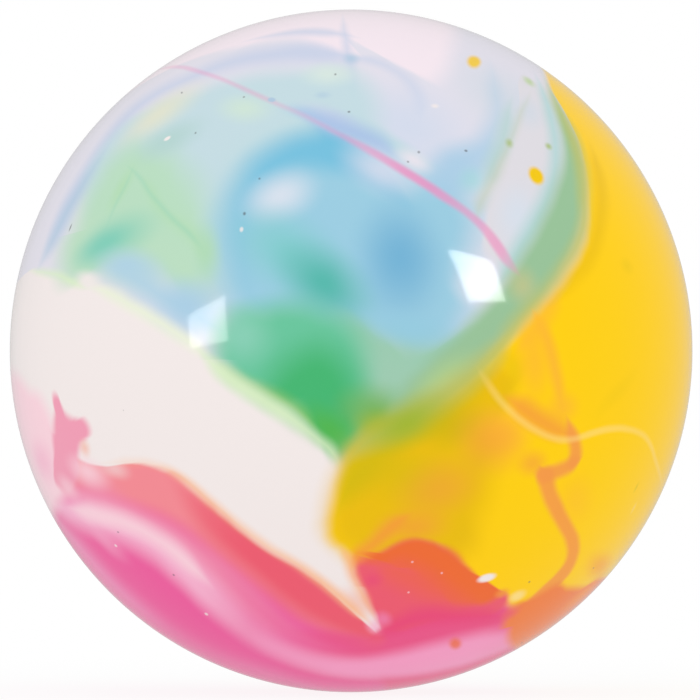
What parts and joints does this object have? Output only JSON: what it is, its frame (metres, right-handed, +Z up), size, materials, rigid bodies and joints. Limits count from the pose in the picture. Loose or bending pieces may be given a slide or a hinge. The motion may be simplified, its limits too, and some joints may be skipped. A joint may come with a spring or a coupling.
{
  "type": "field hockey ball",
  "caption": "Smooth hard ball for field hockey, with a cork core inside a glossy split cover marbled in white, blue, green, yellow, pink and orange.",
  "frame": {"origin": "centre of the ball", "axes": "+Z up, the front half that the picture shows faces -Y, the rear half faces +Y, and the cover's seam lies in the XZ plane"},
  "size_m": [0.073, 0.073, 0.073],
  "materials": {
    "cork": "matte",
    "white_plastic": "gloss",
    "orange_plastic": "gloss",
    "pink_plastic": "gloss",
    "yellow_plastic": "gloss",
    "blue_plastic": "gloss",
    "green_plastic": "gloss"
  },
  "bodies": {
    "root": {"cork_core": "cork", "front_shell": "white_plastic", "rear_shell": "white_plastic", "orange_charge_front": "orange_plastic", "pink_charge_front": "pink_plastic", "yellow_charge_front": "yellow_plastic", "blue_charge_front": "blue_plastic", "green_swirl_front": "green_plastic", "green_patch_front": "green_plastic", "yellow_charge_rear": "yellow_plastic", "pink_charge_rear": "pink_plastic", "blue_charge_rear": "blue_plastic", "green_charge_rear": "green_plastic"}
  },
  "joints": []
}
